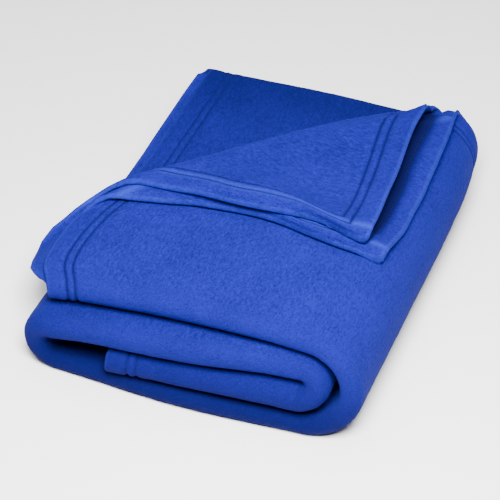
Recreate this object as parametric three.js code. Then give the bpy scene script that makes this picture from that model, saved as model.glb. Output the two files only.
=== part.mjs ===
// A hemmed polar fleece blanket, folded and rolled flat into a bundle, in millimetres with +Z up.
//
// The blanket is one cloth. Its long side is folded in four, front to back, into a strip of four layers.
// The strip is then rolled flat, from its inner end outwards, into four slabs that lie on each other.
// Last, the back left corners of the strip's two top layers are turned over along a diagonal.
//
// The flat cloth is a thin box with the places along the roll and along the zigzag as its two long sides.
// Each of its points is carried through the three folds, so the bundle is a single closed sheet.

import * as THREE from 'three';

// The cloth
const HALF_THICKNESS = 1.7;
const HEM_HALF_THICKNESS = 2.3;
const HEM_WIDTH = 24;
const HEM_STEP = 3;
const COLOUR = 0x2c47b0;

// The roll, seen from the front: X of the ends of its slabs
const OUTER_END_X = -2;
const RIGHT_FOLD_X = 246;
const LEFT_FOLD_X = 17;
const INNER_FOLD_X = 241;
const INNER_END_X = 70;

// How far the roll's folds bulge out, from front to back
const BULGES = [
  { y: 0, right: 39, left: 19, inner: 14 },
  { y: 120, right: 40.5, left: 19, inner: 13.5 },
  { y: 320, right: 40.5, left: 19, inner: 12.5 },
  { y: 390, right: 33, left: 18, inner: 12 },
];

// How far the two free hems of the strip lie behind its back fold, top layer first, how far its inner front
// fold lies behind the outer one, and about how far apart its layers are
const TOP_HEM_OUT = 2;
const SECOND_HEM_OUT = -6;
const INNER_FRONT_IN = 3;
const USUAL_SPACING = 6;

// The bundle's middle, which becomes X = 0 and Y = 0
const MIDDLE_X = 132.7;
const MIDDLE_Y = 190.9;

// Height of the top of each slab at the front, from left to right
const FRONT_LEVELS = [
  { x: -20, bottom: 16, third: 28, second: 57, top: 84 },
  { x: 10, bottom: 17, third: 31, second: 63, top: 92 },
  { x: 45, bottom: 18, third: 39, second: 67, top: 97 },
  { x: 75, bottom: 18, third: 43, second: 69, top: 99 },
  { x: 110, bottom: 19, third: 45, second: 72, top: 101 },
  { x: 160, bottom: 20, third: 48, second: 75, top: 103 },
  { x: 215, bottom: 21, third: 53, second: 78, top: 104 },
  { x: 270, bottom: 21, third: 53, second: 77, top: 100 },
];

// The same at the back
const BACK_LEVELS = [
  { x: -20, bottom: 18, third: 38, second: 66, top: 92 },
  { x: 10, bottom: 19, third: 42, second: 70, top: 97 },
  { x: 75, bottom: 20, third: 44, second: 70, top: 97 },
  { x: 160, bottom: 22, third: 45, second: 69, top: 97 },
  { x: 270, bottom: 23, third: 46, second: 67, top: 93 },
];
const LEVELS_FRONT_Y = 40;
const LEVELS_BACK_Y = 380;

// Y of the strip's front and back folds along the roll: 0 to 1 is the top slab, 1 to 2 the right fold,
// 2 to 3 the bottom slab, 3 to 4 the left fold, 4 to 5 the second slab, 5 to 6 the inner fold, 6 to 7 the third
const STRIP_EDGES = [
  { along: 0, front: 14, back: 384 },
  { along: 0.5, front: 15, back: 387 },
  { along: 1, front: 10, back: 385 },
  { along: 1.5, front: 4, back: 388 },
  { along: 2, front: -2, back: 388 },
  { along: 2.5, front: -7, back: 386 },
  { along: 3, front: 0, back: 384 },
  { along: 3.5, front: 0, back: 382 },
  { along: 4, front: -4, back: 382 },
  { along: 4.5, front: -6, back: 384 },
  { along: 5, front: 2, back: 384 },
  { along: 5.5, front: 2, back: 384 },
  { along: 6, front: -4, back: 384 },
  { along: 7, front: -8, back: 384 },
];

// X of the left hem of each layer of the top slab, the top layer first, from front to back
const LEFT_HEMS = [
  { y: 0, first: 15, second: 10, third: 10, fourth: 14 },
  { y: 22, first: 5, second: 1, third: 8, fourth: 8 },
  { y: 36, first: -3, second: -13, third: 6, fourth: 4 },
  { y: 52, first: -8, second: -26, third: 6, fourth: 0 },
  { y: 80, first: -9, second: -31, third: 6, fourth: -2 },
  { y: 115, first: -4, second: -18, third: 6, fourth: -2 },
  { y: 150, first: 6, second: -3, third: 8, fourth: 0 },
  { y: 200, first: 12, second: 8, third: 10, fourth: 2 },
  { y: 390, first: 20, second: 22, third: 7, fourth: 0 },
];
const HEM_FADE = 0.7;

// The hems droop where they hang out at the left, up to the turned corners
const DROOP_X = -4;
const DROOP_REACH = 28;
const DROOP = 15;
const DROOP_PAST = 22;
const DROOP_FADE = 30;

// The turned corners, from the fold line's left end (0) to its right end (1): the line is Y = X + offset,
// radius is that of the top layer's fold, each layer slides on by some more towards the front right,
// and comes to rest at its own height over the top layer
const TURN = [
  { place: 0, offset: 112, radius: 4.5, firstSlide: 0, secondSlide: 0, firstRest: 6.5, secondRest: 15 },
  { place: 0.15, offset: 113, radius: 6, firstSlide: 0, secondSlide: 0, firstRest: 6.5, secondRest: 15 },
  { place: 0.27, offset: 107, radius: 6.5, firstSlide: 6, secondSlide: 3, firstRest: 6.5, secondRest: 15 },
  { place: 0.45, offset: 112, radius: 5.5, firstSlide: 22, secondSlide: 14, firstRest: 6, secondRest: 13.5 },
  { place: 0.6, offset: 115, radius: 5, firstSlide: 30, secondSlide: 18, firstRest: 6, secondRest: 12.5 },
  { place: 0.8, offset: 113, radius: 4.5, firstSlide: 24, secondSlide: 14, firstRest: 6, secondRest: 12.5 },
  { place: 1, offset: 106, radius: 3.5, firstSlide: 16, secondSlide: 4, firstRest: 5.5, secondRest: 12 },
  { place: 1.1, offset: 111, radius: 3, firstSlide: 16, secondSlide: 4, firstRest: 5.5, secondRest: 12 },
];
const TURN_START = 80;
const TURN_LENGTH = 350;
const TURN_ALONG_LIMIT = 1.5;
const SETTLE_LENGTH = 130;
const SLIDE_LENGTH = 90;

// The turned corners' front hems drop on the layer below in a soft band, behind a low ridge
const BAND_WIDTH = 20;
const BAND_BACK = 3;
const BAND_START = 12;
const HEM_CLEARANCE = 5.4;
const SHOULDER_LIFT = 14;
const RIDGE_RISE = 3;

// Steps of the cloth along the roll and along the zigzag, one number for each slab, layer or fold
const ROLL_STEPS = [8, 7, 4, 6, 4, 6, 3];
const ZIGZAG_STEPS = [1, 6, 3, 4, 4, 4, 1];
const TURN_CREASES = 5;
const LEAST_STEP = 0.02;
const LAYER_DEPTH = 370;

// Rows of the two upper layers from the strip's front (0) to its back (1), closer by the turned fold's left end
const UPPER_ROWS = [0.045, 0.09, 0.135, 0.18, 0.235, 0.29, 0.345, 0.41, 0.48, 0.58, 0.7, 0.83];

const LAST = 7;

function clamp(value) {
  return Math.min(Math.max(value, 0), 1);
}

function smooth(value) {
  const t = clamp(value);
  return t * t * (3 - 2 * t);
}

function mix(from, to, t) {
  return from + (to - from) * t;
}

// Reads a table's column at a place, as a smooth curve through its rows
function read(table, key, column, at) {
  const last = table.length - 1;
  if (at <= table[0][key]) return table[0][column];
  if (at >= table[last][key]) return table[last][column];
  const i = table.findIndex((row) => row[key] > at) - 1;
  const slope = (j) => {
    const before = table[Math.max(j - 1, 0)];
    const after = table[Math.min(j + 1, last)];
    return (after[column] - before[column]) / (after[key] - before[key]);
  };
  const span = table[i + 1][key] - table[i][key];
  const t = (at - table[i][key]) / span;
  const rise = table[i + 1][column] - table[i][column];
  const bend = (slope(i) * span - rise) * (1 - t) - (slope(i + 1) * span - rise) * t;
  return table[i][column] + rise * t + t * (1 - t) * bend;
}

// Height of the top of a slab at a place of the bundle
function level(x, y, name) {
  if (name === 'floor') return 0;
  const t = smooth((y - LEVELS_FRONT_Y) / (LEVELS_BACK_Y - LEVELS_FRONT_Y));
  return mix(read(FRONT_LEVELS, 'x', name, x), read(BACK_LEVELS, 'x', name, x), t);
}

// Middle height and layer spacing of a slab between two levels
function slab(x, y, under, over) {
  const low = level(x, y, under);
  const high = level(x, y, over);
  return { middle: (low + high) / 2, spacing: (high - low) / 4 };
}

const topSlab = (x, y) => slab(x, y, 'second', 'top');
const secondSlab = (x, y) => slab(x, y, 'third', 'second');
const thirdSlab = (x, y) => slab(x, y, 'bottom', 'third');

// The bottom slab's lowest layer lies flat on the floor
function bottomSlab(x, y) {
  const { spacing } = slab(x, y, 'floor', 'bottom');
  return { middle: 1.5 * spacing + HALF_THICKNESS, spacing };
}

// The strip of four layers: how far a point lies behind the front fold, and how far out from its middle.
// 0 to 1 is the top layer, 1 to 2 the outer front fold, 2 to 3 the lowest layer, 3 to 4 the back fold,
// 4 to 5 the third layer, 5 to 6 the inner front fold and 6 to 7 the second layer.
function zigzag(across, depth, spacing, out) {
  const section = Math.min(Math.floor(across), LAST - 1);
  const t = across - section;
  const angle = Math.PI * t;
  const big = 1.5 * spacing;
  const small = 0.5 * spacing;
  const front = big + HALF_THICKNESS;
  const inner = front + INNER_FRONT_IN;
  const back = depth - small - HALF_THICKNESS;
  if (section === 0) return { in: mix(depth + TOP_HEM_OUT, front, t), up: big + out };
  if (section === 1) return { in: front - (big + out) * Math.sin(angle), up: (big + out) * Math.cos(angle) };
  if (section === 2) return { in: mix(front, back, t), up: -(big + out) };
  if (section === 3) {
    return { in: back + (small + out) * Math.sin(angle), up: -spacing - (small + out) * Math.cos(angle) };
  }
  if (section === 4) return { in: mix(back, inner, t), up: -small + out };
  if (section === 5) return { in: inner - (small - out) * Math.sin(angle), up: -(small - out) * Math.cos(angle) };
  return { in: mix(inner, depth + SECOND_HEM_OUT, t), up: small - out };
}

// A fold of the roll, half an ellipse between the middles of two slabs; side is 1 at the right, -1 at the left
function bend(x, upper, lower, bulge, side, angle, out) {
  const tall = (upper - lower) / 2;
  const normalX = side * tall * Math.sin(angle);
  const normalZ = bulge * Math.cos(angle);
  const length = Math.hypot(normalX, normalZ);
  return {
    x: x + side * bulge * Math.sin(angle) + (out * normalX) / length,
    z: (upper + lower) / 2 + tall * Math.cos(angle) + (out * normalZ) / length,
  };
}

// How far the top slab's layers are pushed from its plain end, so that no two left hems are flush
function hemShift(across, y) {
  const hem = (name) => read(LEFT_HEMS, 'y', name, y);
  const section = Math.min(Math.floor(across), LAST - 1);
  const t = across - section;
  const names = ['first', 'first', 'fourth', 'fourth', 'third', 'third', 'second', 'second'];
  return mix(hem(names[section]), hem(names[section + 1]), section % 2 === 1 ? t : 0) - OUTER_END_X;
}

// The roll's slabs and the X of the ends of its slabs and folds, from the outer end inwards
const SLABS = [topSlab, null, bottomSlab, null, secondSlab, null, thirdSlab];
const ROLL_ENDS = [
  OUTER_END_X, RIGHT_FOLD_X, RIGHT_FOLD_X, LEFT_FOLD_X, LEFT_FOLD_X, INNER_FOLD_X, INNER_FOLD_X, INNER_END_X,
];

// The rolled strip before its corners are turned
function roll(along, across, out) {
  const section = Math.min(Math.floor(along), LAST - 1);
  const t = along - section;
  const front = read(STRIP_EDGES, 'along', 'front', along);
  const depth = read(STRIP_EDGES, 'along', 'back', along) - front;
  const plainX = mix(ROLL_ENDS[section], ROLL_ENDS[section + 1], t);
  const isFold = section % 2 === 1;

  // The left hems' places and the layers' spacing depend a little on the depth, so two passes find them
  let x = plainX;
  let y = front + zigzag(across, depth, USUAL_SPACING, out).in;
  let spacing = 0;
  let place = null;
  for (let pass = 0; pass < 2; pass += 1) {
    x = plainX + hemShift(across, y) * smooth(1 - along / HEM_FADE);
    if (isFold) {
      const before = SLABS[section - 1](x, y).spacing;
      const after = SLABS[section + 1](x, y).spacing;
      spacing = mix(before, after, t);
    } else {
      spacing = SLABS[section](x, y).spacing;
    }
    place = zigzag(across, depth, spacing, out);
    y = front + place.in;
  }

  if (isFold) {
    const before = SLABS[section - 1](x, y).middle;
    const after = SLABS[section + 1](x, y).middle;
    const bulge = read(BULGES, 'y', { 1: 'right', 3: 'left', 5: 'inner' }[section], y);
    if (section === 3) return { y, ...bend(x, after, before, bulge, -1, Math.PI * (1 - t), place.up) };
    return { y, ...bend(x, before, after, bulge, 1, Math.PI * t, place.up) };
  }
  const outward = section === 0 || section === 4 ? 1 : -1;
  return { x, y, z: SLABS[section](x, y).middle + outward * place.up };
}

// Height of the middle of the top layer and how steep it is, over the right shoulder too
function topLayer(x, y) {
  const { middle, spacing } = topSlab(x, y);
  if (x <= RIGHT_FOLD_X) return { height: middle + 1.5 * spacing, steep: 1, spacing };
  const centre = (middle + bottomSlab(x, y).middle) / 2;
  const reach = clamp((x - RIGHT_FOLD_X) / (read(BULGES, 'y', 'right', y) + 1.5 * spacing));
  const round = Math.sqrt(1 - reach * reach);
  const height = centre + (middle - centre + 1.5 * spacing) * round;
  return { height, steep: 1 / Math.max(round, 0.5), spacing };
}

// Where a point lies across the diagonal fold line, in its own distance and place along it
function acrossTurn(x, y) {
  const alongLine = (x + y) / Math.SQRT2;
  const place = (alongLine - TURN_START) / TURN_LENGTH;
  const offset = read(TURN, 'place', 'offset', place);
  return {
    alongLine,
    place,
    offset,
    distance: (y - x - offset) / Math.SQRT2,
    radius: read(TURN, 'place', 'radius', place),
  };
}

const isFirst = (across) => across < 1;
const isSecond = (across) => across > LAST - 1;

// The point of the bundle for a point of the flat cloth
function fold(along, across, out) {
  const point = roll(along, across, out);
  const turn = acrossTurn(point.x, point.y);
  if (along < HEM_FADE) {
    const hanging = clamp((DROOP_X - point.x) / DROOP_REACH) ** 2;
    point.z -= DROOP * hanging * smooth((DROOP_PAST - turn.distance) / DROOP_FADE);
  }
  // The floor keeps the hems of the lowest layer flat too
  point.z = Math.max(point.z, 0);
  if (along > TURN_ALONG_LIMIT || !(isFirst(across) || isSecond(across)) || turn.distance <= 0) return point;

  const { height: base, spacing } = topLayer(point.x, point.y);
  const arc = isFirst(across) ? turn.radius : turn.radius + spacing;
  const lever = base + turn.radius - point.z;
  const angle = Math.min(turn.distance / arc, Math.PI);
  const past = Math.max(turn.distance - Math.PI * arc, 0);
  const slide = read(TURN, 'place', isFirst(across) ? 'firstSlide' : 'secondSlide', turn.place);
  const moved = past > 0 ? -past - slide * smooth(past / SLIDE_LENGTH) : lever * Math.sin(angle);
  const x = (turn.alongLine - moved) / Math.SQRT2 - turn.offset / 2;
  const y = (turn.alongLine + moved) / Math.SQRT2 + turn.offset / 2;

  // Past the fold it comes to rest on the layers below, on the steep right shoulder too
  const { height, steep } = topLayer(x, y);
  const lift = SHOULDER_LIFT * (steep - 1);
  const firstRest = read(TURN, 'place', 'firstRest', turn.place) * steep + lift;
  const secondRest = read(TURN, 'place', 'secondRest', turn.place) * steep + lift;
  const settling = smooth(past / SETTLE_LENGTH);
  const firstMiddle = mix(base + 2 * turn.radius, height + firstRest, settling);
  const secondMiddle = mix(base + turn.radius + arc, height + secondRest, settling);
  const middle = isFirst(across) ? firstMiddle : secondMiddle;
  const below = isFirst(across) ? height : firstMiddle;
  const rolled = base + turn.radius - lever * Math.cos(angle);
  const lain = middle + (isFirst(across) ? -out : out) * mix(1, steep, settling);

  // The front hem drops on the layer below in a soft band, the upper one behind a low ridge
  const fromHem = point.x - (hemShift(across, point.y) + OUTER_END_X);
  const started = smooth(past / BAND_START);
  const band = clamp(1 - fromHem / BAND_WIDTH) ** 2 * started;
  const ridge = isFirst(across) ? 0 : Math.exp(-2 * ((fromHem - BAND_WIDTH) / BAND_WIDTH) ** 2) * started;
  const drop = Math.max(middle - below - HEM_CLEARANCE * steep - lift, 0);
  const z = (past > 0 ? lain : rolled) - drop * band + RIDGE_RISE * ridge;
  return { x, y: y + BAND_BACK * band, z };
}

// The places of the cloth's rows: even steps in each section, and the given rows as well
function rows(steps, given) {
  const places = [];
  steps.forEach((count, section) => {
    for (let i = 0; i < count; i += 1) places.push(section + i / count);
  });
  places.push(LAST);
  const kept = places.filter((place) => given.every((row) => Math.abs(row - place) > LEAST_STEP));
  return [...kept, ...given].sort((a, b) => a - b);
}

const topLength = RIGHT_FOLD_X - OUTER_END_X;
const thirdLength = INNER_FOLD_X - INNER_END_X;
const rollPlaces = rows(ROLL_STEPS, [
  HEM_WIDTH / topLength,
  (HEM_WIDTH + HEM_STEP) / topLength,
  LAST - (HEM_WIDTH + HEM_STEP) / thirdLength,
  LAST - HEM_WIDTH / thirdLength,
]);
const zigzagPlaces = rows(ZIGZAG_STEPS, [
  ...UPPER_ROWS.map((place) => 1 - place),
  ...UPPER_ROWS.map((place) => LAST - 1 + place),
  HEM_WIDTH / LAYER_DEPTH,
  (HEM_WIDTH + HEM_STEP) / LAYER_DEPTH,
  LAST - (HEM_WIDTH + HEM_STEP) / LAYER_DEPTH,
  LAST - HEM_WIDTH / LAYER_DEPTH,
]);

// The hems are the cloth turned in and sewn, so they are thicker than the rest
function halfThickness(along, across) {
  const fromEdge = Math.min(
    along * topLength,
    (LAST - along) * thirdLength,
    across * LAYER_DEPTH,
    (LAST - across) * LAYER_DEPTH,
  );
  const inside = smooth((fromEdge - HEM_WIDTH) / HEM_STEP);
  return mix(HEM_HALF_THICKNESS, HALF_THICKNESS, inside);
}

// How far round the diagonal fold a point of the flat cloth lies: under 0 before it, over 1 past it
function turned(along, across) {
  if (along > TURN_ALONG_LIMIT || !(isFirst(across) || isSecond(across))) return -1;
  const point = roll(along, across, 0);
  const turn = acrossTurn(point.x, point.y);
  const { spacing } = topSlab(point.x, point.y);
  const arc = isFirst(across) ? turn.radius : turn.radius + spacing;
  return turn.distance / (Math.PI * arc);
}

// Cuts triangles of the flat cloth where they cross a crease, so that the fold can bend there
function crease(triangles, at) {
  const side = (point) => point.turned - at;
  const cut = (a, b) => {
    const [low, high] = side(a) < side(b) ? [a, b] : [b, a];
    const t = -side(low) / (side(high) - side(low));
    const along = mix(low.along, high.along, t);
    const across = mix(low.across, high.across, t);
    return { along, across, face: mix(low.face, high.face, t), turned: at };
  };
  const result = [];
  for (const triangle of triangles) {
    const parts = [[], []];
    triangle.forEach((point, i) => {
      const next = triangle[(i + 1) % 3];
      if (side(point) <= 0) parts[0].push(point);
      if (side(point) >= 0) parts[1].push(point);
      if (side(point) * side(next) < 0) {
        const between = cut(point, next);
        parts[0].push(between);
        parts[1].push(between);
      }
    });
    for (const part of parts) {
      for (let i = 2; i < part.length; i += 1) result.push([part[0], part[i - 1], part[i]]);
    }
  }
  return result;
}

// The flat cloth as a thin box, its points named by their places
function flatCloth() {
  const columns = rollPlaces.length - 1;
  const lines = zigzagPlaces.length - 1;
  const box = new THREE.BoxGeometry(columns, lines, 2, columns, lines, 1).toNonIndexed();
  const position = box.getAttribute('position');
  const points = [];
  for (let i = 0; i < position.count; i += 1) {
    const along = rollPlaces[Math.round(position.getX(i) + columns / 2)];
    const across = zigzagPlaces[Math.round(position.getY(i) + lines / 2)];
    points.push({ along, across, face: position.getZ(i), turned: turned(along, across) });
  }
  const triangles = [];
  for (let i = 0; i < points.length; i += 3) triangles.push(points.slice(i, i + 3));
  return triangles;
}

function foldedCloth() {
  let triangles = flatCloth();
  for (let i = 0; i <= TURN_CREASES; i += 1) triangles = crease(triangles, i / TURN_CREASES);
  const corners = [];
  for (const [a, b, c] of triangles) {
    // The zigzag starts at the back, so the faces are turned round to point outwards
    for (const point of [a, c, b]) {
      const out = point.face * halfThickness(point.along, point.across);
      const { x, y, z } = fold(point.along, point.across, out);
      corners.push(x - MIDDLE_X, y - MIDDLE_Y, z);
    }
  }
  const geometry = new THREE.BufferGeometry();
  geometry.setAttribute('position', new THREE.Float32BufferAttribute(corners, 3));
  geometry.computeVertexNormals();
  return geometry;
}

const fleece = new THREE.MeshStandardMaterial({ color: COLOUR, roughness: 0.95, metalness: 0 });
const blanket = new THREE.Mesh(foldedCloth(), fleece);
blanket.name = 'blanket';

const part = new THREE.Group();
part.add(blanket);

export default part;
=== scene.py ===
"""A folded polar fleece blanket: one hemmed cloth with its stitching and its nap.

The cloth starts as a flat grid. Each point is named by its place along the roll, its place across the
strip's zigzag and its side of the cloth, and is carried through the three folds that made the bundle: the
zigzag, the flat roll and the corners turned over along a diagonal. Places along the roll and across the
zigzag count slabs, layers and folds, which are sections of length 1. Sizes of the cloth are in millimetres
up to the last step.
"""

from math import pi, radians

import bmesh
import bpy
import numpy as np
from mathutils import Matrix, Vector, noise


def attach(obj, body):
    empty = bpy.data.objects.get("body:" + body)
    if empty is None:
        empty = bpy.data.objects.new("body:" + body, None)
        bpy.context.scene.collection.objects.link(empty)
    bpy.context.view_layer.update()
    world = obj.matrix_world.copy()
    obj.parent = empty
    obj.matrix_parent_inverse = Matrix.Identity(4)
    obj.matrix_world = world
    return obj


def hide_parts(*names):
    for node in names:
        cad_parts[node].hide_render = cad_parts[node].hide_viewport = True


bl_info = {
    "name": "Folded fleece blanket",
    "version": (1, 0, 0),
    "blender": (4, 5, 0),
    "location": "3D View > Sidebar > Blanket",
    "description": "Makes a folded, hemmed fleece blanket and the studio round it",
    "category": "Object",
}

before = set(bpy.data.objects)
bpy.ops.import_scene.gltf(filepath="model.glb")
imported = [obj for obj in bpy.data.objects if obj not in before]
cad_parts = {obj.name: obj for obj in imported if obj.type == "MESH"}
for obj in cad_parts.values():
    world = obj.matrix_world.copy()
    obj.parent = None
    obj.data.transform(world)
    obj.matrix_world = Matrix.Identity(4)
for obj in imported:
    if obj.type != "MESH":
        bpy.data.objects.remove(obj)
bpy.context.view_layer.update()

MM = 0.001

# Sections of the roll: 0 top slab, 1 right fold, 2 bottom slab, 3 left fold, 4 second slab, 5 inner fold,
# 6 third slab. Sections of the strip's zigzag: 0 first layer, 1 outer front fold, 2 fourth layer, 3 back
# fold, 4 third layer, 5 inner front fold, 6 second layer
LAST = 7
BOTTOM_SLAB = 2
LEFT_FOLD = 3
FOLD_NAMES = {1: "right", 3: "left", 5: "inner"}
FACE_UP_SLABS = (0, 4)
SLAB_LEVELS = {0: ("second", "top"), 2: ("floor", "bottom"), 4: ("third", "second"), 6: ("bottom", "third")}
BACK_FOLD = 3
THIRD_LAYER = 4

# The strip's layers, and how many spacings its outer and inner layers lie from its middle
STRIP_LAYERS = 4
OUTER_LAYER = 1.5
INNER_LAYER = 0.5

# The roll, seen from the front: X of the ends of its slabs and folds, from the outer end inwards
ROLL_ENDS = np.array([-2.0, 246, 246, 17, 17, 241, 241, 70])
OUTER_END = ROLL_ENDS[0]
RIGHT_FOLD = ROLL_ENDS[1]
TOP_LENGTH = 248
THIRD_LENGTH = 171
LAYER_DEPTH = 370

# How far the two free hems of the strip lie behind its back fold, and its inner front fold behind the
# outer one
TOP_HEM_OUT = 2
SECOND_HEM_OUT = -6
INNER_FRONT_IN = 3
USUAL_SPACING = 6

# The bundle's middle, which becomes X = 0 and Y = 0
MIDDLE = np.array([132.7, 190.9, 0.0])

# How far the roll's folds bulge out, from front to back
BULGES = {
    "y": (0, 120, 320, 390),
    "right": (39, 40.5, 40.5, 33),
    "left": (19, 19, 19, 18),
    "inner": (14, 13.5, 12.5, 12),
}

# Height of the top of each slab at the front and at the back, from left to right
FRONT_LEVELS = {
    "x": (-20, 10, 45, 75, 110, 160, 215, 270),
    "bottom": (16, 17, 18, 18, 19, 20, 21, 21),
    "third": (28, 31, 39, 43, 45, 48, 53, 53),
    "second": (57, 63, 67, 69, 72, 75, 78, 77),
    "top": (84, 92, 97, 99, 101, 103, 104, 100),
}
BACK_LEVELS = {
    "x": (-20, 10, 75, 160, 270),
    "bottom": (18, 19, 20, 22, 23),
    "third": (38, 42, 44, 45, 46),
    "second": (66, 70, 70, 69, 67),
    "top": (92, 97, 97, 97, 93),
}
LEVELS_FRONT_Y = 40
LEVELS_BACK_Y = 380

# Y of the strip's front and back folds along the roll
STRIP_EDGES = {
    "along": (0, 0.5, 1, 1.5, 2, 2.5, 3, 3.5, 4, 4.5, 5, 5.5, 6, 7),
    "front": (14, 15, 10, 4, -2, -7, 0, 0, -4, -6, 2, 2, -4, -8),
    "back": (384, 387, 385, 388, 388, 386, 384, 382, 382, 384, 384, 384, 384, 384),
}

# X of the left hem of each layer of the top slab, from front to back, the top layer first, the names of the
# layers that each section of the zigzag joins, and where along the roll the layers are flush again
LEFT_HEMS = {
    "y": (0, 22, 36, 52, 80, 115, 150, 200, 390),
    "first": (15, 5, -3, -8, -9, -4, 6, 12, 20),
    "second": (10, 1, -13, -26, -31, -18, -3, 8, 22),
    "third": (10, 8, 6, 6, 6, 7, 10, 14, 14),
    "fourth": (14, 8, 4, 0, -2, -2, 0, 2, 0),
}
LEFT_HEM_NAMES = ("first", "first", "fourth", "fourth", "third", "third", "second", "second")
HEM_FADE = 0.7

# The hems droop where they hang out at the left, up to the turned corners
DROOP_X = -4
DROOP_REACH = 28
DROOP = 15
DROOP_PAST = 22
DROOP_FADE = 30

# The turned corners, from the left end of the diagonal fold line Y = X + offset (0) to its right end (1):
# the fold's radius, how far the layers slide on past it, and how high they come to rest on the top layer
TURN = {
    "place": (0, 0.15, 0.27, 0.45, 0.6, 0.8, 1, 1.1),
    "offset": (112, 113, 107, 112, 115, 113, 106, 111),
    "radius": (4.5, 6, 6.5, 5.5, 5, 4.5, 3.5, 3),
    "first slide": (0, 0, 6, 22, 30, 24, 16, 16),
    "second slide": (0, 0, 3, 14, 18, 14, 4, 4),
    "first rest": (6.5, 6.5, 6.5, 6, 6, 6, 5.5, 5.5),
    "second rest": (15, 15, 15, 13.5, 12.5, 12.5, 12, 12),
}
TURN_START = 80
TURN_LENGTH = 350
TURN_ALONG_LIMIT = 1.5
SETTLE_LENGTH = 130
SLIDE_LENGTH = 90

# The turned corners' front hems curl over a soft ridge and drop on the layer below: their rise and how far
# their edge is drawn back under the ridge, from the edge inwards
TURNED_HEM = {
    "from hem": (0, 4, 10, 18, 27, 40, 60, 100),
    "first rise": (0, 1.5, 4.5, 6.5, 6, 4, 1.5, 0),
    "second rise": (5, 6.5, 9, 10.5, 10, 7, 3, 0),
    "curl": (8, 5.5, 2, 0, 0, 0, 0, 0),
}
BAND_WIDTH = 20
BAND_START = 12
HEM_CLEARANCE = 5.4

# How far the front hems are pulled to the front along the fold line, and where this fades
TURNED_PULL = {
    "place": (0, 0.14, 0.25, 0.36, 0.47, 0.58, 1),
    "first": (12, 8, -3, -8, 2, 4, 4),
    "second": (22, 21, 13, 14, 12, 28, 26),
}
PULL_FROM = 40
PULL_FADE = 120
LAID_LENGTH = 50

# How far the turned layers' right hems lie to the right of where the plain fold leaves them, from the front
# hem backwards
SIDE_SHIFT = {
    "from hem": (0, 60, 120, 200, 300),
    "first": (-8, -5, -5, -3, -1),
    "second": (9, 7, 3, 1, 0),
}
SIDE_FADE = 120

# On the right shoulder the turned layers lie higher by its steepness, which counts up to 1 / LEAST_ARCH
SHOULDER_LIFT = 14
LEAST_ARCH = 0.5

# The upper turned corner's right hem stands open
OPEN_RISE = 15
OPEN_WIDTH = 32
OPEN_FROM = 4
OPEN_LENGTH = 70

# Half the thickness of the plain cloth, and from a hem's edge inwards: puffy hem, two sewn troughs and plain
# cloth. The hems' corners are rounded and puffier
HALF_THICKNESS = 1.7
HEM_PROFILE = {
    "from edge": (0, 5, 14, 17.5, 20, 22, 24, 26, 28, 30.5, 34, 40),
    "half": (2.2, 2.5, 2.4, 2.1, 0.7, 1.8, 2.1, 1.8, 0.6, 1.6, 1.85, 1.7),
}
RIM_HALF = 2.2
RIM_MARGIN = 0.01
CORNER_ROUND = 12
CORNER_PUFF = 1.3
CORNER_REACH = 24

# Cells of the coarse grid in each section, how far from a hem's edge its own rows lie, and how far round the
# diagonal fold line the cells are small
ROLL_CELLS = (24, 13, 9, 9, 8, 9, 8)
ZIGZAG_CELLS = (34, 6, 10, 3, 32, 3, 30)
HEM_ROWS = (2.2, 6, 10, 14, 17, 18.5, 20, 21.5, 24, 26.5, 28, 29.5, 32, 36, 41)
LEAST_STEP = 1.8
RIM_CUTS = 3
TURN_SHOWN = 22
GRID_HALF = 0.5

# Unevenness: how far the hems wander, the nap's lumps and wider dents, which are read further off in the
# noise
HEM_WANDER = 1.2
HEM_WANDER_REACH = 40
HEM_WANDER_LENGTH = 45
NAP_RISE = 0.3
NAP_LUMP = 7
DENT_RISE = 0.35
DENT_LUMP = 28
DENT_OFFSET = 5

# Painted highlight where the pile would catch the light: in from a hem's edge, on the turned fold and on the
# turned hems' ridges, which begin a little past that fold
RIM_GLOW_REACH = 4
CREST_PAST = 22
CREST_WIDTH = 4
RIDGE_FROM = 20
RIDGE_PAST = 20
RIDGE_FADE = 30

# Painted shade, mixed towards the thread's colour: in the seams' troughs, where the pile is also pressed
# flat, low in the bundle, on the layer that the turned corners uncovered, and deep under the upper turned
# corner
SEAM_WIDTH = 1.3
SEAM_SHADE = 0.7
LOW_SHADE_HEIGHT = 90
LOW_SHADE = 0.8
UNCOVERED_SHADE = 0.32
BACK_SHADE = 0.6
BACK_REACH = 110
UNDER_SHADE = 0.9
UNDER_FROM = 10
UNDER_FADE = 10
UNDER_PAST_HEM = 30

# The twin rows of stitches, from a hem's edge, and the share of its pitch that a stitch spans
STITCH_ROWS = (20, 28)
SEAM_SAMPLES = 1500
SEAM_INSET = 3
STITCH_SPAN = (0.08, 0.92)
THREAD_PROUD = 0.1
THREAD_FLATNESS = 0.7
TINY = 1e-9

# The colour sockets of a mix node
MIX_FROM = 6
MIX_TO = 7
MIX_RESULT = 2

# Real sizes of the fleece's patterns, in metres: clumps of pile, drawn a little coarse so that they show,
# brushed strokes, which are longer across the zigzag, and patches. Then the span of their summed noise that
# goes from the deep colour to the light one
CLUMP_SIZE = 0.0015
STROKE_SIZE = 0.0016
STROKE_STRETCH = (1, 0.4, 1)
PATCH_SIZE = 0.045
PATCH_SHARE = 0.3
DEEP_TONE = 0.75
LIGHT_TONE = 1.55
PILE_DEPTH = 0.0008
PILE_STRENGTH = 0.9
# How far the painted highlight mixes the pile towards the highlight colour
RIM_GLOW = 0.36

# The thread's plies, in metres, and the studio paper's mottling: spots per metre and how much lighter they
# are
PLY_SIZE = 0.0004
MOTTLE_SCALE = 3.0
MOTTLE_LIGHTER = 1.01

# The studio, in metres, and the camera's sensor in millimetres
FLOOR_HALF = 6
KEY_SIZE = 0.5
KEY_PLACE = (0.3, -0.7, 1.1)
FILL_SIZE = 2.2
FILL_PLACE = (-0.1, 0.2, 2.2)
SENSOR_WIDTH = 36


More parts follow.
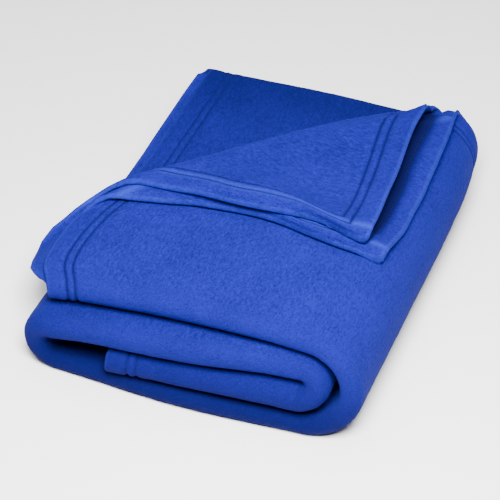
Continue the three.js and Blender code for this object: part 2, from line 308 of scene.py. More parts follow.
def smooth(value):
    """Rises softly from 0 to 1."""
    t = np.clip(value, 0, 1)
    return t * t * (3 - 2 * t)


def mix(start, end, t):
    """Goes evenly from start to end."""
    return start + (end - start) * t


def read(table, key, column, at):
    """A table's column at the given places, as a smooth curve through its rows."""
    places = np.array(table[key], float)
    values = np.array(table[column], float)
    rows = np.arange(len(places))
    before = np.maximum(rows - 1, 0)
    after = np.minimum(rows + 1, rows[-1])
    slopes = (values[after] - values[before]) / (places[after] - places[before])
    at = np.clip(at, places[0], places[-1])
    i = np.clip(np.searchsorted(places, at, side="right") - 1, 0, rows[-1] - 1)
    span = places[i + 1] - places[i]
    t = (at - places[i]) / span
    rise = values[i + 1] - values[i]
    bend = (slopes[i] * span - rise) * (1 - t) - (slopes[i + 1] * span - rise) * t
    return values[i] + rise * t + t * (1 - t) * bend


def level(x, y, name):
    """Height of the top of a slab at a place of the bundle."""
    if name == "floor":
        return 0 * x
    t = smooth((y - LEVELS_FRONT_Y) / (LEVELS_BACK_Y - LEVELS_FRONT_Y))
    return mix(read(FRONT_LEVELS, "x", name, x), read(BACK_LEVELS, "x", name, x), t)


def slab(section, x, y):
    """Middle height and layer spacing of a slab. The bottom one's lowest layer lies flat on the floor."""
    low, high = (level(x, y, name) for name in SLAB_LEVELS[section])
    spacing = (high - low) / STRIP_LAYERS
    middle = OUTER_LAYER * spacing + HALF_THICKNESS if section == BOTTOM_SLAB else (low + high) / 2
    return middle, spacing


def zigzag(across, depth, spacing, out):
    """How far a point of the strip lies behind its front, and how far out from its middle."""
    section = np.clip(np.floor(across), 0, LAST - 1).astype(int)
    t = across - section
    turn = pi * t
    big = OUTER_LAYER * spacing
    small = INNER_LAYER * spacing
    front = big + HALF_THICKNESS
    inner = front + INNER_FRONT_IN
    back = depth - small - HALF_THICKNESS
    inwards = (
        mix(depth + TOP_HEM_OUT, front, t),
        front - (big + out) * np.sin(turn),
        mix(front, back, t),
        back + (small + out) * np.sin(turn),
        mix(back, inner, t),
        inner - (small - out) * np.sin(turn),
        mix(inner, depth + SECOND_HEM_OUT, t),
    )
    upwards = (
        big + out,
        (big + out) * np.cos(turn),
        -(big + out),
        -spacing - (small + out) * np.cos(turn),
        -small + out,
        -(small - out) * np.cos(turn),
        small - out,
    )
    return np.choose(section, inwards), np.choose(section, upwards)


def round_fold(x, upper, lower, bulge, side, angle, out):
    """A fold of the roll, half an ellipse between the middles of two slabs."""
    tall = (upper - lower) / 2
    normal_x = side * tall * np.sin(angle)
    normal_z = bulge * np.cos(angle)
    length = np.hypot(normal_x, normal_z)
    fold_x = x + side * bulge * np.sin(angle) + out * normal_x / length
    fold_z = (upper + lower) / 2 + tall * np.cos(angle) + out * normal_z / length
    return fold_x, fold_z


def hem_shift(across, y):
    """How far the top slab's layers are pushed from its plain end, so that no two left hems are flush."""
    hems = np.array([read(LEFT_HEMS, "y", name, y) for name in LEFT_HEM_NAMES])
    section = np.clip(np.floor(across), 0, LAST - 1).astype(int)
    t = np.where(section % 2 == 1, across - section, 0)
    columns = np.arange(len(section))
    return mix(hems[section, columns], hems[section + 1, columns], t) - OUTER_END


def roll_section(section, along, across, out):
    """The rolled strip within one slab or fold of the roll."""
    t = along - section
    front = read(STRIP_EDGES, "along", "front", along)
    depth = read(STRIP_EDGES, "along", "back", along) - front
    plain_x = mix(ROLL_ENDS[section], ROLL_ENDS[section + 1], t)
    is_fold = section % 2 == 1

    # The left hems' places and the layers' spacing depend a little on the depth, so two passes find them
    y = front + zigzag(across, depth, USUAL_SPACING, out)[0]
    for _ in range(2):
        x = plain_x + hem_shift(across, y) * smooth(1 - along / HEM_FADE)
        if is_fold:
            spacing = mix(slab(section - 1, x, y)[1], slab(section + 1, x, y)[1], t)
        else:
            spacing = slab(section, x, y)[1]
        inward, upward = zigzag(across, depth, spacing, out)
        y = front + inward

    if is_fold:
        before, after = slab(section - 1, x, y)[0], slab(section + 1, x, y)[0]
        bulge = read(BULGES, "y", FOLD_NAMES[section], y)
        if section == LEFT_FOLD:
            x, z = round_fold(x, after, before, bulge, -1, pi * (1 - t), upward)
        else:
            x, z = round_fold(x, before, after, bulge, 1, pi * t, upward)
        return x, y, z
    outward = 1 if section in FACE_UP_SLABS else -1
    return x, y, slab(section, x, y)[0] + outward * upward


def roll(along, across, out):
    """The rolled strip before its corners are turned."""
    place = np.zeros((3, len(along)))
    sections = np.clip(np.floor(along), 0, LAST - 1)
    for section in range(LAST):
        here = sections == section
        if here.any():
            place[:, here] = roll_section(section, along[here], across[here], out[here])
    return place


def top_layer(x, y):
    """Height of the middle of the top layer and how steep it is, over the right shoulder too."""
    middle, spacing = slab(0, x, y)
    centre = (middle + slab(BOTTOM_SLAB, x, y)[0]) / 2
    reach = np.clip((x - RIGHT_FOLD) / (read(BULGES, "y", "right", y) + OUTER_LAYER * spacing), 0, 1)
    arch = np.sqrt(1 - reach * reach)
    height = centre + (middle - centre + OUTER_LAYER * spacing) * arch
    return height, 1 / np.maximum(arch, LEAST_ARCH), spacing


def across_turn(x, y):
    """Where a point lies at the diagonal fold line: how far along it, its place on it, the line's offset
    there and the distance past it."""
    along_line = (x + y) / np.sqrt(2)
    place = (along_line - TURN_START) / TURN_LENGTH
    offset = read(TURN, "place", "offset", place)
    return along_line, place, offset, (y - x - offset) / np.sqrt(2)


def past_turn(x, y):
    """How far a point lies past the diagonal fold line."""
    *_, distance = across_turn(x, y)
    return distance


def is_first(across):
    """Whether a point belongs to the strip's first layer, which lies on top in the plain roll."""
    return across < 1


def is_second(across):
    """Whether a point belongs to the strip's second layer, which lies on top of the turned corners."""
    return across > LAST - 1


def turn_over(along, across, out, x, y, z):
    """Points past the diagonal fold line, laid over on the bundle's top."""
    along_line, place, offset, distance = across_turn(x, y)
    first = is_first(across)
    base, _, spacing = top_layer(x, y)
    radius = read(TURN, "place", "radius", place)
    arc = np.where(first, radius, radius + spacing)
    lever = base + radius - z
    angle = np.minimum(distance / arc, pi)
    past = np.maximum(distance - pi * arc, 0)
    slides = [read(TURN, "place", name, place) for name in ("first slide", "second slide")]
    slide = np.where(first, slides[0], slides[1])
    moved = np.where(past > 0, -past - slide * smooth(past / SLIDE_LENGTH), lever * np.sin(angle))
    from_hem = x - (hem_shift(across, y) + OUTER_END)
    laid = smooth(past / LAID_LENGTH)
    pulls = [read(TURNED_PULL, "place", name, place) for name in ("first", "second")]
    pull = np.where(first, pulls[0], pulls[1]) * laid * (1 - smooth((from_hem - PULL_FROM) / PULL_FADE))
    new_x = (along_line - moved) / np.sqrt(2) - offset / 2
    new_y = (along_line + moved) / np.sqrt(2) + offset / 2 - pull

    # Past the fold it comes to rest on the layers below, on the steep right shoulder too
    height, steep, _ = top_layer(new_x, new_y)
    lift = SHOULDER_LIFT * (steep - 1)
    first_rest = read(TURN, "place", "first rest", place) * steep + lift
    second_rest = read(TURN, "place", "second rest", place) * steep + lift
    settling = smooth(past / SETTLE_LENGTH)
    first_middle = mix(base + 2 * radius, height + first_rest, settling)
    second_middle = mix(base + radius + arc, height + second_rest, settling)
    middle = np.where(first, first_middle, second_middle)
    below = np.where(first, height, first_middle)
    rolled = base + radius - lever * np.cos(angle)
    lain = middle + np.where(first, -out, out) * mix(1, steep, settling)

    # The front hem curls over a soft ridge and drops on the layer below
    started = smooth(past / BAND_START)
    band = np.clip(1 - from_hem / BAND_WIDTH, 0, 1) ** 2 * started
    drop = np.maximum(middle - below - HEM_CLEARANCE * steep - lift, 0)
    rises = [read(TURNED_HEM, "from hem", name, from_hem) for name in ("first rise", "second rise")]
    rise = np.where(first, rises[0], rises[1]) * laid
    curl = read(TURNED_HEM, "from hem", "curl", from_hem) * laid

    # The right hems slide a little, and the upper one stands open
    from_side = np.where(first, across, LAST - across) * LAYER_DEPTH
    shifts = [read(SIDE_SHIFT, "from hem", name, from_hem) for name in ("first", "second")]
    new_x = new_x + np.where(first, shifts[0], shifts[1]) * (1 - smooth(from_side / SIDE_FADE)) * laid
    open_hem = OPEN_RISE * np.exp(-from_side / OPEN_WIDTH) * smooth((from_hem - OPEN_FROM) / OPEN_LENGTH)
    rise = rise + np.where(first, 0, open_hem) * started
    new_z = np.where(past > 0, lain, rolled) - drop * band + rise
    return new_x, new_y + curl, new_z


def fold(along, across, out):
    """The bundle's points for places of the flat cloth and their distance out from its middle."""
    x, y, z = roll(along, across, out)
    distance = past_turn(x, y)
    hanging = np.clip((DROOP_X - x) / DROOP_REACH, 0, 1) ** 2
    drooping = DROOP * hanging * smooth((DROOP_PAST - distance) / DROOP_FADE)
    z = np.maximum(z - np.where(along < HEM_FADE, drooping, 0), 0)
    place = np.array([x, y, z])
    over = (along <= TURN_ALONG_LIMIT) & (is_first(across) | is_second(across)) & (distance > 0)
    place[:, over] = turn_over(along[over], across[over], out[over], x[over], y[over], z[over])
    return place


def rows(cells, first_length, last_length):
    """Places of the flat cloth's rows: even steps in each section, and the hems' own rows."""
    even = [section + i / count for section, count in enumerate(cells) for i in range(count)]
    hems = [far / first_length for far in HEM_ROWS] + [LAST - far / last_length for far in HEM_ROWS]
    apart = LEAST_STEP / first_length
    inside = [place for place in even if min(hems) < place < max(hems)]
    kept = [place for place in inside if all(abs(place - hem) > apart for hem in hems)]
    return sorted(kept + hems)


def flat_places(bm):
    """Each point's place along the roll, place across the zigzag and side of the cloth."""
    return np.array([v.co[:] for v in bm.verts]).T


def edge_distances(along, across):
    """How far a point of the flat cloth lies from its two ends and its two sides, in millimetres."""
    ends = [along * TOP_LENGTH, (LAST - along) * THIRD_LENGTH]
    sides = [across * LAYER_DEPTH, (LAST - across) * LAYER_DEPTH]
    return ends + sides


def closeness(along, across, side):
    """How closely each cell of the cloth is seen: 0 hidden, 1 seen, 2 seen from near."""
    x, y, _ = roll(along, across, 0 * along)
    distance = past_turn(x, y)
    top = along < 1
    first, second = is_first(across), is_second(across)
    third = (across > THIRD_LAYER) & (across < THIRD_LAYER + 1)
    outside = side > 0
    over = distance > 0
    front = outside & (across > 1) & (across < 2)
    facing_up = np.where(over, (first & ~outside) | (second & outside), first & outside)
    corner = third & outside & (distance > -TURN_SHOWN)
    at_fold = (first | second) & (np.abs(distance - TURN_SHOWN / 2) < TURN_SHOWN)
    near = top & (facing_up | corner | at_fold)
    right = first & outside & (along >= 1) & (along < 2)
    left = first & outside & (along > LEFT_FOLD) & (along < LEFT_FOLD + 1)
    return np.where(near, 2, np.where(front | right | left, 1, 0))


def flat_cloth():
    """The flat cloth as a thin closed box with round rims, with smaller cells where it is seen."""
    along_rows = rows(ROLL_CELLS, TOP_LENGTH, THIRD_LENGTH)
    across_rows = rows(ZIGZAG_CELLS, LAYER_DEPTH, LAYER_DEPTH)
    columns, lines = len(along_rows) - 1, len(across_rows) - 1
    bm = bmesh.new()
    bmesh.ops.create_grid(bm, x_segments=columns, y_segments=lines, size=GRID_HALF)
    for v in bm.verts:
        column = round((v.co.x + GRID_HALF) * columns)
        line = round((v.co.y + GRID_HALF) * lines)
        v.co = (along_rows[column], across_rows[line], -1)
    made = bmesh.ops.extrude_face_region(bm, geom=bm.faces[:])
    lifted = [v for v in made["geom"] if isinstance(v, bmesh.types.BMVert)]
    bmesh.ops.translate(bm, vec=(0, 0, 2), verts=lifted)
    rims = [e for e in bm.edges if abs(e.verts[0].co.z - e.verts[1].co.z) > 1]
    bmesh.ops.subdivide_edges(bm, edges=rims, cuts=RIM_CUTS, use_grid_fill=True)
    for wanted in (1, 2):
        faces = [f for f in bm.faces if all(abs(v.co.z) == 1 for v in f.verts)]
        middles = np.array([f.calc_center_median()[:] for f in faces]).T
        seen = closeness(*middles)
        edges = {e for f, near in zip(faces, seen) if near >= wanted for e in f.edges}
        bmesh.ops.subdivide_edges(bm, edges=list(edges), cuts=1, use_grid_fill=True)
    return bm


def rounded_corner(a, b):
    """Draws a square corner's two distances in to a round one's."""
    near_a = np.clip(1 - a / CORNER_ROUND, 0, None)
    near_b = np.clip(1 - b / CORNER_ROUND, 0, None)
    both = (near_a > 0) & (near_b > 0)
    round_a = near_a * np.sqrt(np.clip(1 - near_b**2 / 2, 0, 1))
    round_b = near_b * np.sqrt(np.clip(1 - near_a**2 / 2, 0, 1))
    drawn_a = np.where(both, CORNER_ROUND * (1 - round_a), a)
    drawn_b = np.where(both, CORNER_ROUND * (1 - round_b), b)
    return drawn_a, drawn_b


def uneven(u, v, w, size):
    """Smooth unevenness from -1 to 1 over the flat cloth, with lumps of about that size."""
    return np.array([noise.noise(Vector((a / size, b / size, c))) for a, b, c in zip(u, v, w)])


def rounded_rims(along, across, side):
    """Places of the flat cloth once its rims bulge out in half circles and its corners are round."""
    bulge = RIM_HALF * np.cos(side * pi / 2)
    distances = edge_distances(along, across)
    start, end, back, second = [np.where(d < RIM_HALF + RIM_MARGIN, d - bulge, d) for d in distances]
    start, back = rounded_corner(start, back)
    start, second = rounded_corner(start, second)
    end, back = rounded_corner(end, back)
    end, second = rounded_corner(end, second)
    round_along = np.where(along < LAST / 2, start / TOP_LENGTH, LAST - end / THIRD_LENGTH)
    round_across = np.where(across < LAST / 2, back / LAYER_DEPTH, LAST - second / LAYER_DEPTH)
    return round_along, round_across


def half_thickness(distances, u, v, side):
    """Half the thickness of the cloth, with its hems, its puffy corners, its nap and its dents."""
    nearest, next_nearest = np.sort(distances, axis=0)[:2]
    puff = CORNER_PUFF * smooth(1 - next_nearest / CORNER_REACH)
    lumps = NAP_RISE * uneven(u, v, side, NAP_LUMP)
    dents = DENT_RISE * uneven(u, v, side + DENT_OFFSET, DENT_LUMP)
    return read(HEM_PROFILE, "from edge", "half", nearest) + puff + (lumps + dents) * np.abs(side)


def cloth_shape(bm):
    """Moves the flat cloth's points to their places in the bundle, and gives where its painted highlight and
    its painted shade lie."""
    flat_along, flat_across, side = flat_places(bm)
    distances = edge_distances(flat_along, flat_across)
    from_edge = np.min(distances, axis=0)
    along, across = rounded_rims(flat_along, flat_across, side)

    # The hems' edges wander a little
    u, v = along * TOP_LENGTH, across * LAYER_DEPTH
    near_hem = np.clip(1 - from_edge / HEM_WANDER_REACH, 0, 1)
    wander = HEM_WANDER * near_hem * uneven(u, v, 0 * u, HEM_WANDER_LENGTH)
    out = np.sin(side * pi / 2) * half_thickness(distances, u, v, side)
    place = fold(along + wander / TOP_LENGTH, across + wander / LAYER_DEPTH, out)
    place[2] = np.maximum(place[2], 0)
    for vert, point in zip(bm.verts, ((place.T - MIDDLE) * MM).tolist()):
        vert.co = point

    x, y, _ = roll(along, across, 0 * along)
    distance = past_turn(x, y)
    painted_highlight = painted_highlights(along, across, distances, distance)
    painted_shade = painted_shades(along, across, side, distances, distance, place[2])
    return painted_highlight, painted_shade


def painted_highlights(along, across, distances, distance):
    """Painted highlight: how much lighter the pile is painted along the hems' edges, the turned fold and the
    turned hems' ridges, where it would catch the light.
    """
    from_hem = distances[0]
    from_edge = np.min(distances, axis=0)
    upper = (along < 1) & (is_first(across) | is_second(across))
    crest = np.exp(-(((distance - CREST_PAST) / CREST_WIDTH) ** 2)) * upper
    ridge = np.exp(-(((from_hem - RIDGE_FROM) / CREST_WIDTH) ** 2)) * upper
    ridge = ridge * smooth((distance - RIDGE_PAST) / RIDGE_FADE)
    return np.maximum.reduce([np.clip(1 - from_edge / RIM_GLOW_REACH, 0, 1), crest, ridge])


def painted_shades(along, across, side, distances, distance, height):
    """Painted shade: in the seams' troughs, where the seams also press the pile flat, low in the bundle, on
    the third layer, most of all near its back fold, and under the upper turned corner."""
    from_hem, _, from_side, _ = distances
    from_edge = np.min(distances, axis=0)
    # Painted shade in the troughs along the stitch rows, where the seams also press the pile flat
    seam_troughs = [np.exp(-(((from_edge - row) / SEAM_WIDTH) ** 2)) for row in STITCH_ROWS]
    seams = SEAM_SHADE * np.max(seam_troughs, axis=0)
    # Painted shade, darker lower in the bundle
    low_shade = LOW_SHADE * smooth(1 - height / LOW_SHADE_HEIGHT)
    # Painted shade on the third layer, darker towards its back fold
    from_back = (across - THIRD_LAYER) * LAYER_DEPTH
    uncovered = mix(BACK_SHADE, UNCOVERED_SHADE, smooth(from_back / BACK_REACH))
    uncovered = uncovered * smooth(across - BACK_FOLD) * ((across < THIRD_LAYER + 1) & (along < 1))
    # Painted shade deep under the upper turned corner's right hem
    turned = is_first(across) & (along < 1) & (distance > 0) & (side < 0)
    deep = smooth((from_side - UNDER_FROM) / UNDER_FADE) * smooth((from_hem - UNDER_PAST_HEM) / UNDER_FADE)
    return np.maximum.reduce([seams, low_shade, uncovered, UNDER_SHADE * deep * turned])


def seam_place(edge, from_edge, t):
    """Places of the flat cloth along a row of stitches, t going from 0 to 1 along its hem."""
    inset = SEAM_INSET / LAYER_DEPTH
    far = from_edge + 0 * t
    if edge in ("start", "end"):
        along = far / TOP_LENGTH if edge == "start" else LAST - far / THIRD_LENGTH
        return along, inset + (LAST - 2 * inset) * t
    across = far / LAYER_DEPTH if edge == "back" else LAST - far / LAYER_DEPTH
    return inset + (LAST - 2 * inset) * t, across


def unit(axes):
    """The axes at length 1."""
    return axes / (np.linalg.norm(axes, axis=1, keepdims=True) + TINY)


def stitch_frames(edge, from_edge, side, sizes):
    """Middles and axes, with their half sizes, of one row of stitches on one side of a hem."""
    half = read(HEM_PROFILE, "from edge", "half", np.array([from_edge]))
    t = np.linspace(0, 1, SEAM_SAMPLES)
    path = fold(*seam_place(edge, from_edge, t), side * half + 0 * t)
    length = np.concatenate([[0], np.cumsum(np.linalg.norm(np.diff(path, axis=1), axis=0))])
    pitch = sizes.stitch_pitch / MM
    starts = np.arange(0, length[-1] - pitch, pitch)
    first, last = (np.interp(starts + pitch * share, length, t) for share in STITCH_SPAN)
    height = side * (half + THREAD_PROUD)
    heads = fold(*seam_place(edge, from_edge, first), height + 0 * first).T
    tails = fold(*seam_place(edge, from_edge, last), height + 0 * last).T
    middles = (heads + tails) / 2
    raised = fold(*seam_place(edge, from_edge, (first + last) / 2), height + side + 0 * first).T
    run = tails - heads
    width = np.cross(raised - middles, run)
    upright = np.cross(run, width)
    half_width = sizes.stitch_width / MM / 2
    sideways = unit(width) * half_width
    upwards = unit(upright) * half_width * THREAD_FLATNESS
    return middles - MIDDLE, np.stack([run / 2, sideways, upwards], axis=1)


def sewn(middles, axes):
    """The stitches as small beads of thread, each stretched along its own axes."""
    bead = bmesh.new()
    bmesh.ops.create_icosphere(bead, subdivisions=1, radius=1)
    bead_mesh = bpy.data.meshes.new("stitch")
    bead.to_mesh(bead_mesh)
    bead.free()
    bm = bmesh.new()
    for _ in middles:
        bm.from_mesh(bead_mesh)
    corners = np.array([v.co[:] for v in bead_mesh.vertices])
    bpy.data.meshes.remove(bead_mesh)
    places = middles[:, None, :] + np.einsum("vk,skx->svx", corners, axes)
    for v, place in zip(bm.verts, np.concatenate(places * MM).tolist()):
        v.co = place
    return bm


def linear(colour):
    """A linear colour from an sRGB hex value, by the sRGB curve."""
    parts = [int(colour[i : i + 2], 16) / 255 for i in (1, 3, 5)]
    return tuple(c / 12.92 if c <= 0.04045 else ((c + 0.055) / 1.055) ** 2.4 for c in parts)


def add(tree, kind, inputs=(), **settings):
    """Adds a node with its settings; each input gets a value or the output that feeds it."""
    node = tree.nodes.new(kind)
    for name, value in settings.items():
        setattr(node, name, value)
    for name, value in dict(inputs).items():
        if isinstance(value, bpy.types.NodeSocket):
            tree.links.new(value, node.inputs[name])
        else:
            node.inputs[name].default_value = value
    return node


def new_material(name):
    """A material with an empty node tree."""
    material = bpy.data.materials.new(name)
    material.use_nodes = True
    material.node_tree.nodes.clear()
    return material


def finish_material(material, shader):
    """Leads the shader to the material's surface."""
    output = add(material.node_tree, "ShaderNodeOutputMaterial")
    material.node_tree.links.new(shader.outputs[0], output.inputs["Surface"])
    return material


def fleece_material(finish):
    """Brushed polar fleece, dyed knitted polyester. Its raised pile is matt, glows a little where it is seen
    edge on, and shows as fine clumps with wider patches where it was brushed one way or the other. A painted
    highlight lightens it along the hems' edges, the turned fold and the ridges, and painted shade darkens it
    towards the thread's colour in the seams' troughs, low in the bundle, on the third layer and under the
    upper turned corner."""
    material = new_material("brushed_polar_fleece")
    tree = material.node_tree
    coordinates = add(tree, "ShaderNodeTexCoord").outputs["Object"]
    flat = add(tree, "ShaderNodeAttribute", attribute_name="flat_place").outputs["Vector"]
    stretched = add(tree, "ShaderNodeMapping", {"Vector": flat, "Scale": STROKE_STRETCH}).outputs["Vector"]
    clumps = add(
        tree,
        "ShaderNodeTexNoise",
        {"Vector": coordinates, "Scale": 1 / CLUMP_SIZE, "Detail": 3, "Roughness": 0.6},
    ).outputs["Fac"]
    strokes = add(
        tree,
        "ShaderNodeTexNoise",
        {"Vector": stretched, "Scale": 1 / STROKE_SIZE, "Detail": 2, "Roughness": 0.5},
    ).outputs["Fac"]
    patches = add(
        tree,
        "ShaderNodeTexNoise",
        {"Vector": coordinates, "Scale": 1 / PATCH_SIZE, "Detail": 2, "Roughness": 0.5},
    ).outputs["Fac"]
    pile = add(tree, "ShaderNodeMath", {0: clumps, 1: strokes}, operation="ADD").outputs[0]
    brushed = add(tree, "ShaderNodeMath", {0: patches, 1: PATCH_SHARE}, operation="MULTIPLY").outputs[0]
    tone = add(tree, "ShaderNodeMath", {0: pile, 1: brushed}, operation="ADD").outputs[0]
    amount = add(
        tree,
        "ShaderNodeMapRange",
        {"Value": tone, "From Min": DEEP_TONE, "From Max": LIGHT_TONE, "To Min": 0, "To Max": 1},
    ).outputs["Result"]
    dyed = add(
        tree,
        "ShaderNodeMix",
        {"Factor": amount, MIX_FROM: (*finish.deep, 1), MIX_TO: (*finish.light, 1)},
        data_type="RGBA",
    ).outputs[MIX_RESULT]
    # Painted highlight: the pile mixed towards the highlight colour along the hems' edges, the fold and
    # ridges
    painted_highlight = add(tree, "ShaderNodeAttribute", attribute_name="painted_highlight").outputs["Fac"]
    glow = add(tree, "ShaderNodeMath", {0: painted_highlight, 1: RIM_GLOW}, operation="MULTIPLY").outputs[0]
    highlighted = add(
        tree,
        "ShaderNodeMix",
        {"Factor": glow, MIX_FROM: dyed, MIX_TO: (*finish.highlight_and_sheen, 1)},
        data_type="RGBA",
    ).outputs[MIX_RESULT]
    # Painted shade: the pile mixed towards the thread's dark colour
    painted_shade = add(tree, "ShaderNodeAttribute", attribute_name="painted_shade").outputs["Fac"]
    laid = add(
        tree,
        "ShaderNodeMix",
        {"Factor": painted_shade, MIX_FROM: highlighted, MIX_TO: (*finish.thread, 1)},
        data_type="RGBA",
    ).outputs[MIX_RESULT]
    bump = add(
        tree, "ShaderNodeBump", {"Height": pile, "Strength": PILE_STRENGTH, "Distance": PILE_DEPTH}
    ).outputs["Normal"]
    shader = add(
        tree,
        "ShaderNodeBsdfPrincipled",
        {
            "Base Color": laid,
            "Normal": bump,
            "Roughness": 0.95,
            "IOR": 1.5,
            "Specular IOR Level": 0.05,
            "Sheen Weight": 0.2,
            "Sheen Roughness": 0.3,
            "Sheen Tint": (*finish.highlight_and_sheen, 1),
        },
    )
    return finish_material(material, shader)


def thread_material(finish):
    """Spun polyester sewing thread, a shade deeper than the cloth, so its rows read as fine dark lines."""
    material = new_material("spun_polyester_thread")
    tree = material.node_tree
    coordinates = add(tree, "ShaderNodeTexCoord").outputs["Object"]
    plies = add(tree, "ShaderNodeTexNoise", {"Vector": coordinates, "Scale": 1 / PLY_SIZE}).outputs["Fac"]
    colour = add(
        tree,
        "ShaderNodeMix",
        {"Factor": plies, MIX_FROM: (*finish.thread, 1), MIX_TO: (*finish.deep, 1)},
        data_type="RGBA",
    ).outputs[MIX_RESULT]
    shader = add(
        tree,
        "ShaderNodeBsdfPrincipled",
        {"Base Color": colour, "Roughness": 0.8, "IOR": 1.5, "Specular IOR Level": 0.1},
    )
    return finish_material(material, shader)


def floor_material(studio):
    """Seamless studio paper: matt and nearly white, with a trace of mottling."""
    material = new_material("studio_paper")
    tree = material.node_tree
    coordinates = add(tree, "ShaderNodeTexCoord").outputs["Object"]
    mottle = add(tree, "ShaderNodeTexNoise", {"Vector": coordinates, "Scale": MOTTLE_SCALE}).outputs["Fac"]
    white = [min(c * MOTTLE_LIGHTER, 1) for c in studio.floor]
    colour = add(
        tree,
        "ShaderNodeMix",
        {"Factor": mottle, MIX_FROM: (*studio.floor, 1), MIX_TO: (*white, 1)},
        data_type="RGBA",
    ).outputs[MIX_RESULT]
    shader = add(tree, "ShaderNodeBsdfPrincipled", {"Base Color": colour, "Roughness": 0.9, "IOR": 1.5})
    return finish_material(material, shader)


def add_piece(bm, name, material):
    """Makes a finished piece from its mesh, smooth, riding on the blanket's body."""
    for face in bm.faces:
        face.smooth = True
    mesh = bpy.data.meshes.new(name)
    bm.to_mesh(mesh)
    bm.free()
    mesh.materials.append(material)
    piece = bpy.data.objects.new(name, mesh)
    bpy.context.scene.collection.objects.link(piece)
    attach(piece, "root")
    return piece


def store(mesh, name, kind, values):
    """Keeps values on the mesh's points, for its material."""
    attribute = mesh.attributes.new(name, kind, "POINT")
    attribute.data.foreach_set("vector" if kind == "FLOAT_VECTOR" else "value", np.ravel(values).tolist())


class BlanketSizes(bpy.types.PropertyGroup):
    """Sizes of the blanket."""

    flat_width: bpy.props.FloatProperty(
        name="Flat width", description="The blanket's short side, laid flat", default=1.016, unit="LENGTH"
    )
    flat_length: bpy.props.FloatProperty(
        name="Flat length", description="The blanket's long side, laid flat", default=1.524, unit="LENGTH"
    )
    stitch_pitch: bpy.props.FloatProperty(
        name="Stitch pitch", description="From one stitch to the next", default=0.0034, unit="LENGTH"
    )
    stitch_width: bpy.props.FloatProperty(
        name="Thread width", description="Width of the sewing thread", default=0.0008, unit="LENGTH"
    )


class BlanketColours(bpy.types.PropertyGroup):
    """Colours of the fleece and its thread."""

    deep: bpy.props.FloatVectorProperty(
        name="Deep",
        description="Pile that lies in shade",
        subtype="COLOR",
        size=3,
        default=linear("#0c0e49"),
    )
    light: bpy.props.FloatVectorProperty(
        name="Light",
        description="Pile that stands up",
        subtype="COLOR",
        size=3,
        default=linear("#191b84"),
    )
    # Colour of the painted highlight along the hems, folds and ridges, also the sheen's tint
    highlight_and_sheen: bpy.props.FloatVectorProperty(
        name="Edge",
        description="Painted highlight along the hems, folds and ridges",
        subtype="COLOR",
        size=3,
        default=linear("#2d3caf"),
    )
    thread: bpy.props.FloatVectorProperty(
        name="Thread",
        description="The hems' sewing thread",
        subtype="COLOR",
        size=3,
        default=linear("#05062f"),
    )


class StudioSettings(bpy.types.PropertyGroup):
    """The camera, the floor and the lights."""

    azimuth: bpy.props.FloatProperty(
        name="Azimuth",
        description="How far the camera is turned to the left",
        subtype="ANGLE",
        default=radians(20.7),
    )
    elevation: bpy.props.FloatProperty(
        name="Elevation",
        description="How steeply the camera looks down",
        subtype="ANGLE",
        default=radians(38.6),
    )
    place: bpy.props.FloatVectorProperty(
        name="Camera place",
        description="Where the camera stands",
        subtype="XYZ",
        size=3,
        unit="LENGTH",
        default=(0.4683, -1.2505, 1.0919),
    )
    lens: bpy.props.FloatProperty(
        name="Lens", description="Focal length in millimetres", default=133.2, min=20, max=300
    )
    floor: bpy.props.FloatVectorProperty(
        name="Floor",
        description="The studio paper",
        subtype="COLOR",
        size=3,
        default=linear("#f6f6f6"),
    )
    key_power: bpy.props.FloatProperty(
        name="Key light",
        description="Power of the soft light at the front right, in watts",
        default=76,
        min=0,
    )
    fill_power: bpy.props.FloatProperty(
        name="Fill light", description="Power of the wide light overhead, in watts", default=46, min=0
    )
    surroundings: bpy.props.FloatProperty(
        name="Surroundings", description="Strength of the even light all round", default=0.08, min=0
    )


class BLANKET_OT_cloth(bpy.types.Operator):
    """Folds the cloth of the blanket"""

    bl_idname = "blanket.cloth"
    bl_label = "Fold the cloth"

    def execute(self, context):
        colours = context.scene.blanket_colours
        bm = flat_cloth()
        along, across, side = flat_places(bm)
        painted_highlight, painted_shade = cloth_shape(bm)
        if bm.calc_volume(signed=True) < 0:
            bmesh.ops.reverse_faces(bm, faces=bm.faces[:])
        if any(not edge.is_manifold for edge in bm.edges):
            raise RuntimeError("the cloth isn't closed")
        piece = add_piece(bm, "fleece_cloth", fleece_material(colours))
        flat = np.array([along * TOP_LENGTH, across * LAYER_DEPTH, side]).T * MM
        store(piece.data, "flat_place", "FLOAT_VECTOR", flat)
        store(piece.data, "painted_highlight", "FLOAT", painted_highlight)
        store(piece.data, "painted_shade", "FLOAT", painted_shade)
        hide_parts("blanket")
        return {"FINISHED"}


class BLANKET_OT_stitching(bpy.types.Operator):
    """Sews the hems' twin rows of stitches"""

    bl_idname = "blanket.stitching"
    bl_label = "Sew the hems"

    def execute(self, context):
        cloth = bpy.data.objects.get("fleece_cloth")
        if cloth is None:
            raise RuntimeError("the cloth has to be folded before its hems are sewn")
        sizes = context.scene.blanket_sizes
        colours = context.scene.blanket_colours
        frames = [
            stitch_frames(edge, from_edge, side, sizes)
            for edge in ("start", "end", "back", "second")
            for from_edge in STITCH_ROWS
            for side in (-1, 1)
        ]
        middles = np.concatenate([middle for middle, _ in frames])
        axes = np.concatenate([axis for _, axis in frames])
        stitching = add_piece(sewn(middles, axes), "hem_stitching", thread_material(colours))
        return {"FINISHED"}


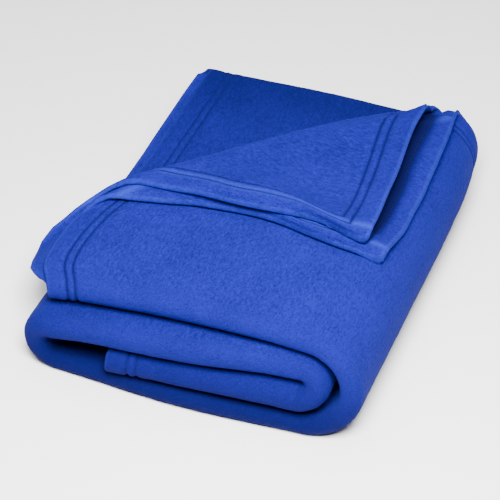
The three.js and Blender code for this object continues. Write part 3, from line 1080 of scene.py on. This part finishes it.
class BLANKET_OT_studio(bpy.types.Operator):
    """Sets up the floor, the lights and the camera"""

    bl_idname = "blanket.studio"
    bl_label = "Set up the studio"

    def execute(self, context):
        studio = context.scene.blanket_studio
        bm = bmesh.new()
        bmesh.ops.create_grid(bm, x_segments=1, y_segments=1, size=FLOOR_HALF)
        mesh = bpy.data.meshes.new("studio_floor")
        bm.to_mesh(mesh)
        bm.free()
        mesh.materials.append(floor_material(studio))
        floor = bpy.data.objects.new("studio_floor", mesh)
        context.scene.collection.objects.link(floor)

        world = bpy.data.worlds.new("studio_surroundings")
        world.use_nodes = True
        background = world.node_tree.nodes["Background"]
        background.inputs["Color"].default_value = (1, 1, 1, 1)
        background.inputs["Strength"].default_value = studio.surroundings
        context.scene.world = world

        add_light("key_light", studio.key_power, KEY_SIZE, Vector(KEY_PLACE))
        add_light("fill_light", studio.fill_power, FILL_SIZE, Vector(FILL_PLACE))

        camera = bpy.data.objects.new("camera", bpy.data.cameras.new("camera"))
        camera.data.lens = studio.lens
        camera.data.sensor_width = SENSOR_WIDTH
        camera.location = studio.place
        camera.rotation_euler = (pi / 2 - studio.elevation, 0, studio.azimuth)
        context.scene.collection.objects.link(camera)
        context.scene.camera = camera
        return {"FINISHED"}


def add_light(name, power, size, place):
    """A soft square light that faces the blanket."""
    light = bpy.data.lights.new(name, "AREA")
    light.energy = power
    light.size = size
    lamp = bpy.data.objects.new(name, light)
    lamp.location = place
    lamp.rotation_euler = (-place).to_track_quat("-Z", "Y").to_euler()
    bpy.context.scene.collection.objects.link(lamp)


class BLANKET_PT_panel(bpy.types.Panel):
    """Lists the blanket's sizes and colours, the studio's settings and the steps that make them"""

    bl_idname = "BLANKET_PT_panel"
    bl_label = "Folded fleece blanket"
    bl_space_type = "VIEW_3D"
    bl_region_type = "UI"
    bl_category = "Blanket"

    def draw(self, context):
        scene = context.scene
        for group in (scene.blanket_sizes, scene.blanket_colours, scene.blanket_studio):
            for name in group.__annotations__:
                self.layout.prop(group, name)
        for operator in OPERATORS:
            self.layout.operator(operator.bl_idname)


GROUPS = (BlanketSizes, BlanketColours, StudioSettings)
OPERATORS = (BLANKET_OT_cloth, BLANKET_OT_stitching, BLANKET_OT_studio)


def register():
    """Makes the settings, the steps and the panel known."""
    for kind in (*GROUPS, *OPERATORS, BLANKET_PT_panel):
        bpy.utils.register_class(kind)
    bpy.types.Scene.blanket_sizes = bpy.props.PointerProperty(type=BlanketSizes)
    bpy.types.Scene.blanket_colours = bpy.props.PointerProperty(type=BlanketColours)
    bpy.types.Scene.blanket_studio = bpy.props.PointerProperty(type=StudioSettings)


def unregister():
    """Takes them out again."""
    del bpy.types.Scene.blanket_studio
    del bpy.types.Scene.blanket_colours
    del bpy.types.Scene.blanket_sizes
    for kind in reversed((*GROUPS, *OPERATORS, BLANKET_PT_panel)):
        bpy.utils.unregister_class(kind)


def main():
    """Makes the blanket and its studio."""
    register()
    bpy.ops.blanket.cloth()
    bpy.ops.blanket.stitching()
    bpy.ops.blanket.studio()


if __name__ == "__main__":
    main()
